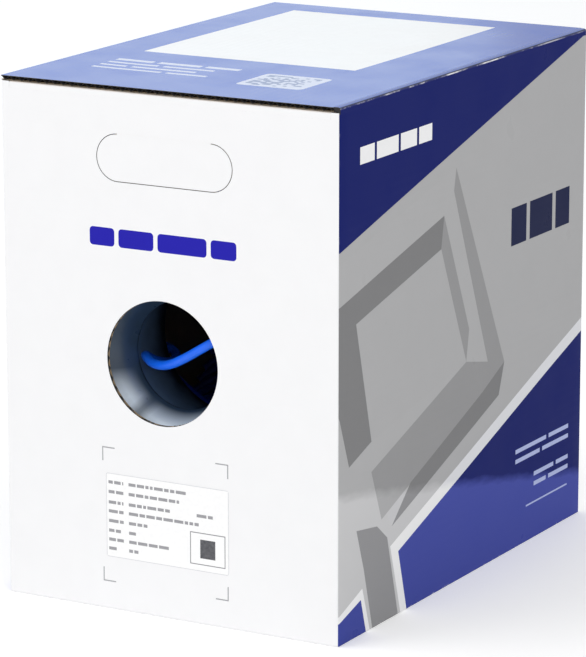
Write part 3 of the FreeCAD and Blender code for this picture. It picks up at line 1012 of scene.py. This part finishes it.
def bottom_flaps():
    """The two outer bottom flaps, pierced by their staples, the dust flaps over them and the glue tab."""
    shades = print_set()
    half_u, half_v, loose = (STAPLE_LEG + 0.3 * MM) / 2, STAPLE_CROWN / 2, 0.2 * MM
    folds = {"left": (FOLD_START, 0), "right": (0, FOLD_START), "front": (0, 0), "back": (0, 0)}
    for side, (first, last) in folds.items():
        kind = "bottom" if first or last else "bottom_dust"
        node = kind + "_flap_" + side
        lo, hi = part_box(node)
        staples = [(x - lo.x, hi.y - y) for x, y in staple_places() if kind == "bottom" and lo.x < x < hi.x]
        holes = [rectangle(u - half_u, v - half_v - loose, u + half_u, v + half_v + loose)
                 for u, v in staples]
        corrugated(side + "_" + kind + "_board", (Vector((lo.x, hi.y, lo.z)), X, -Y, -Z),
                   rectangle(first, 0, hi.x - lo.x - last, hi.y - lo.y), kind == "bottom_dust", "carton",
                   node, shades, holes=holes)
    lo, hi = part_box("glue_tab")
    corrugated("glue_tab_board", (Vector((lo.x, hi.y, lo.z)), X, Z, Y),
               rectangle(0, 0, hi.x - lo.x, hi.z - lo.z), True, "carton", "glue_tab", shades)


def staple_places():
    """The staples' middles: two rows at each end, one each side of the bottom seam."""
    out = []
    for end in (-1, 1):
        for side in (-1, 1):
            for row in range(STAPLE_ROWS):
                out.append((side * (STAPLE_FROM_SEAM + row * STAPLE_PITCH / 2),
                            end * (D / 2 - STAPLE_FROM_END - row * STAPLE_PITCH)))
    return out


# --- Pull-out fittings ---
def funnel():
    """Moulded funnel: a flange behind the wall, a smoothly flared throat and stiffening ribs."""
    piece = Piece("funnel_moulding", (Vector((HOLE_X, FRONT_Y, HOLE_Z)), X, Z, -Y))
    mark = piece.shade(shade("funnel_plastic", funnel_shade, FUNNEL_RGB, FUNNEL_LIT_PATCH))
    mouth, throat, flange, wall = 60 * MM, 36 * MM, 72 * MM, 2 * MM
    steps, most_flare, turns, ribs = 24, 4.4 * MM, 120, 8
    face, lip = BOARD + 0.05 * MM, FUNNEL_HI.y - FUNNEL_LO.y + BOARD
    back = face + wall
    inner = []
    for i in range(steps + 1):
        t = i / steps
        flare = most_flare * sin(pi * t) * (1 - t * 0.3)
        inner.append((throat + (mouth - throat) * (1 - t) - flare, face + (lip - wall - face) * t))
    round_lip = [(0.1, -0.9), (0.5, -0.25), (1.1, 0), (wall / MM - 0.2, -0.3), (wall / MM, -1)]
    inner += [(throat + out * MM, lip + deep * MM) for out, deep in round_lip]
    outer = [(mouth + wall + 1.2 * MM, back + 1.2 * MM), (mouth + wall + 2.6 * MM, back + 0.1 * MM),
             (flange - 0.4 * MM, back - 0.05 * MM), (flange, back - 0.5 * MM), (flange, face + 0.3 * MM),
             (flange - 0.4 * MM, face)]
    piece.turned(inner + outer, turns, mark)
    for i in range(ribs):
        funnel_rib(piece, 2 * pi * (i + 0.5) / ribs, mouth + wall, flange - wall, back, mark)
    piece.finish("carton", ["payout_funnel"], 40)


def funnel_rib(piece, a, cone, floor_sheen, back, mark):
    """A thin three-cornered rib between the flange's back and the cone."""
    reach, half = 6 * MM, 0.8 * MM
    low = cone - reach * 0.92
    outline = [(cone - MM, back - MM), (floor_sheen, back - MM), (floor_sheen, back + 0.4 * MM),
               (low + 0.6 * MM, back + reach), (low - MM, back + reach)]
    across, up = cos(a), sin(a)
    rings = [[piece.point(r * across - side * up, r * up + side * across, -depth) for r, depth in outline]
             for side in (-half, half)]
    piece.skin(rings, [mark] * (len(outline) + 1))


# --- The winding ---
def coil():
    """The hollow coil: crossing outer and inner layers of cable over a closed body, open at the hole."""
    lo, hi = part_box("cable_coil")
    half, outer, core = (hi.x - lo.x) / 2, (hi.z - lo.z) / 2, CORE_R
    piece = Piece("wound_cable", (Vector((0, 0, HOLE_Z)), X, Y, Z))
    # painted shade: the winding and the body under it are darker copies of the jacket's blue
    under = piece.shade(shade("winding_under", jacket_shade, JACKET_UNDER_SHADED))
    mark = piece.shade(shade("winding_jacket", jacket_shade, JACKET_WOUND_SHADED))
    under_layers = 2.15 * CABLE_D
    coil_body(piece, outer - under_layers, core + under_layers, half - 1.1 * CABLE_D, under)
    r, steps, rounding = CABLE_D / 2, 28, 9 * MM
    pick = random.Random(11)
    layers = (      # radius, strands, way round, and 1 for an outer layer or -1 for an inner one
        (outer - r - 0.1 * MM, 64, 1, 1),
        (outer - 2.75 * r, 64, -1, 1),
        (core + r + 0.2 * MM, 44, 1, -1),
        (core + 2.8 * r, 44, -1, -1),
    )
    for radius, count, way, outwards in layers:
        for i in range(count):
            start = 2 * pi * (i + 0.25 * pick.random()) / count
            swing = pi * (0.98 + 0.04 * pick.random())
            run = []
            for t in (step / steps for step in range(steps + 1)):
                x = (2 * t - 1) * (half - 1.2 * r)
                bend = max(0.0, abs(x) - (half - rounding)) / rounding
                drop = outwards * rounding * (1 - sqrt(max(0.0, 1 - min(1.0, bend) ** 2)))
                a = start + way * swing * t
                q = radius - drop - outwards * abs(0.35 * MM * sin(9 * t + i))
                p = Vector((x, *polar(q, a)))
                if in_mouth(p):
                    wound(piece, run, r, mark)
                    run = []
                else:
                    run.append(p)
            wound(piece, run, r, mark)
    piece.finish("carton", ["cable_coil"], 60)


def in_mouth(p):
    """Whether a point of the winding is in the pull-out hole or the room for the funnel."""
    passage, widest, slope, face, depth = 57.5 * MM, 66 * MM, 0.93, 5 * MM, 36 * MM
    reach, front = hypot(p.x - HOLE_X, p.z), p.y + D / 2
    cone = widest - slope * (front - face) + CABLE_D / 2 if front < depth else 0
    return p.y < 0 and reach < max(passage, cone)


def wound(piece, run, r, mark):
    if len(run) > 1:
        piece.strand(run, r, 7, mark, lambda p: Vector((0, p.y, p.z)).normalized())


def coil_body(piece, outer, core, half, mark):
    """The closed body under the outer layers, with a round passage through its front."""
    steps, passage_r = 72, 57 * MM
    corners = ((-half, core), (half, core), (half, outer), (-half, outer))
    body = Piece("ring", (Vector((0, 0, 0)), X, Y, Z))
    turns = [2 * pi * i / steps for i in range(steps)]
    body.skin([[body.point(x, *polar(q, a)) for x, q in corners] for a in turns], [0] * 4, True)
    ring = add("ring", body.mesh())
    bm = bmesh.new()
    bmesh.ops.create_cone(bm, cap_ends=True, segments=64, radius1=passage_r, radius2=passage_r, depth=D)
    turn = Matrix.Translation((HOLE_X, -D / 2, 0)) @ Matrix.Rotation(pi / 2, 4, "X")
    bmesh.ops.transform(bm, matrix=turn, verts=bm.verts)
    cutter = add("cutter", bpy.data.meshes.new("cutter"))
    bm.to_mesh(cutter.data)
    bm.free()
    cut = ring.modifiers.new("cut", "BOOLEAN")
    cut.operation, cut.object, cut.solver = "DIFFERENCE", cutter, "EXACT"
    bpy.context.view_layer.update()
    whole = bpy.data.meshes.new_from_object(ring.evaluated_get(bpy.context.evaluated_depsgraph_get()))
    first = len(piece.verts)
    for v in whole.vertices:
        piece.point(*v.co)
    for face in whole.polygons:
        piece.face([first + i for i in face.vertices], mark)
    for part in (ring, cutter):
        bpy.data.objects.remove(part)


# --- Sticker ---
def sticker():
    """A white paper sticker with pale lines and a plain boxed block, following the wall's dishing. A grey rim
    round it is painted shade at its raised edge.
    """
    lo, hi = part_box("product_label")
    u0, v0, u1, v1 = lo.x + W / 2, lo.z, hi.x + W / 2, hi.z
    rim, heading = 0.45 * MM, 13 * MM
    # painted shade: a grey rim along the sticker's edge
    prints = [("edge", rectangle(u0, v0, u1, v1)),
              ("face", rounded(u0 + rim, v0 + rim, u1 - rim, v1 - rim, MM))]
    # each row: how far down it is, its heading's length in twelfths, and where its text ends
    rows = ((6, 12, 61), (12.5, 12, 55), (19.5, 12, 48), (25.5, 12, 70), (32, 12, 31), (38.5, 11, 24),
            (44.5, 12, 48), (50.5, 8, 24))
    pick = random.Random(3)
    for top, first, last in rows:
        prints += bars(pick, u0 + 1.8 * MM, u0 + heading * first / 12, v1 - top * MM)
        prints += bars(pick, u0 + 17 * MM, u0 + last * MM, v1 - top * MM)
    prints += bars(pick, u0 + 68 * MM, u0 + 80 * MM, v1 - 19.5 * MM)
    box = (u0 + 63 * MM, v1 - 52 * MM, u0 + 89.2 * MM, v1 - 30.5 * MM)
    for name, side, above in (("frame", 0, 0), ("face", 0.6, 0.6), ("block", 7.5, 4.5)):
        side, above = side * MM, above * MM
        prints.append((name, rectangle(box[0] + side, box[1] + above, box[2] - side, box[3] - above)))
    shades = {
        "face": shade("label_paper", paper_shade, PAPER_WHITE),
        "edge": shade("label_edge", paper_shade, (214, 214, 218)),
        "ink": shade("label_ink", paper_shade, LABEL_GREY),
        "block": shade("label_block", paper_shade, (70, 70, 76)),
        "frame": shade("label_line", paper_shade, (120, 120, 126)),
    }
    piece = Piece("paper_sticker", FRONT, dished(W, H, PHASE["front"]))
    sheet = Sheet(rounded(u0, v0, u1, v1, 1.5 * MM), (), prints)
    paper = shades["face"]
    piece.slab(sheet, 0.14 * MM, 0.04 * MM, shades, paper, paper)
    piece.finish("carton", ["product_label"])


def bars(pick, start, end, middle):
    """A line of short bars of uneven length, as pale ink."""
    out, at, half, gap = [], start, 1.05 * MM, 1.0 * MM
    while end - at > 0.8 * MM:
        long = min(end - at, pick.uniform(2.0, 7.5) * MM)
        out.append(("ink", rectangle(at, middle - half, at + long, middle + half)))
        at += long + gap
    return out


# --- CAD nodes that keep their shape ---
def dress_cad():
    """Materials for the liner tube and the staples, whose CAD shapes are right as they are."""
    finishes = {"payout_tube": shade("liner_tube", tube_shade, TUBE_RGB, TUBE_SHADED_END),
                "bottom_staples": shade("staple_copper", copper_shade)}
    for name, material in finishes.items():
        part = frame["nodes"][name]
        if not part.data.materials:
            part.data.materials.append(material)
        for i in range(len(part.data.materials)):
            part.data.materials[i] = material


# --- Floor, surroundings and lights ---
FLOOR = (-6.0, -6.0, 6.0, 6.0)
FLOOR_GLOW = 0.26
ROOM_GLOW = 0.62
LIGHTS = (
    # name, direction from the box, distance, disk diameter, radiance, colour
    ("key", (-0.47, -0.42, 0.77), 2.6, 1.9, 2.3, (1, 1, 1)),
    ("fill", (0.60, -0.58, 0.54), 2.6, 1.8, 1.4, (1, 1, 1)),
    ("rear", (-0.70, 0.70, 0.26), 3.2, 2.4, 0.5, (0.72, 0.88, 1)),
)


def make_stage():
    """Pale floor, pale surroundings and large soft lights."""
    piece = Piece("floor", (Vector((0, 0, 0)), X, Y, Z))
    n = Nodes("floor_pale")
    n.set(Base_Color=(0.93, 0.93, 0.935, 1), Roughness=0.7)
    n.set(Emission_Color=(1, 1, 1, 1), Emission_Strength=FLOOR_GLOW)
    piece.face([piece.point(u, v, -0.0002) for u, v in rectangle(*FLOOR)], piece.shade(n.material))
    piece.finish()
    world = bpy.data.worlds.new("pale_room")
    bpy.context.scene.world = world
    world.use_nodes = True
    back = world.node_tree.nodes["Background"]
    back.inputs["Color"].default_value = (1, 1, 1, 1)
    back.inputs["Strength"].default_value = ROOM_GLOW
    for light in LIGHTS:
        area_light(*light)


def area_light(name, direction, distance, size, radiance, tint):
    data = bpy.data.lights.new(name, "AREA")
    data.shape = "DISK"
    data.size = size
    data.color = tint
    data.energy = radiance * pi * pi * size ** 2 / 4
    light = add(name, data)
    away = Vector(direction).normalized()
    light.location = Vector((0, 0, H / 2)) + away * distance
    light.rotation_euler = (-away).to_track_quat("-Z", "Y").to_euler()


def build():
    """The camera and the cord come first."""
    make_camera()
    make_tail(shade("cable_jacket", jacket_shade, JACKET))
    end_walls()
    side_walls()
    lid()
    top_flaps()
    bottom_flaps()
    funnel()
    coil()
    sticker()
    dress_cad()


build()
make_stage()
bpy.context.scene.view_settings.view_transform = "Standard"
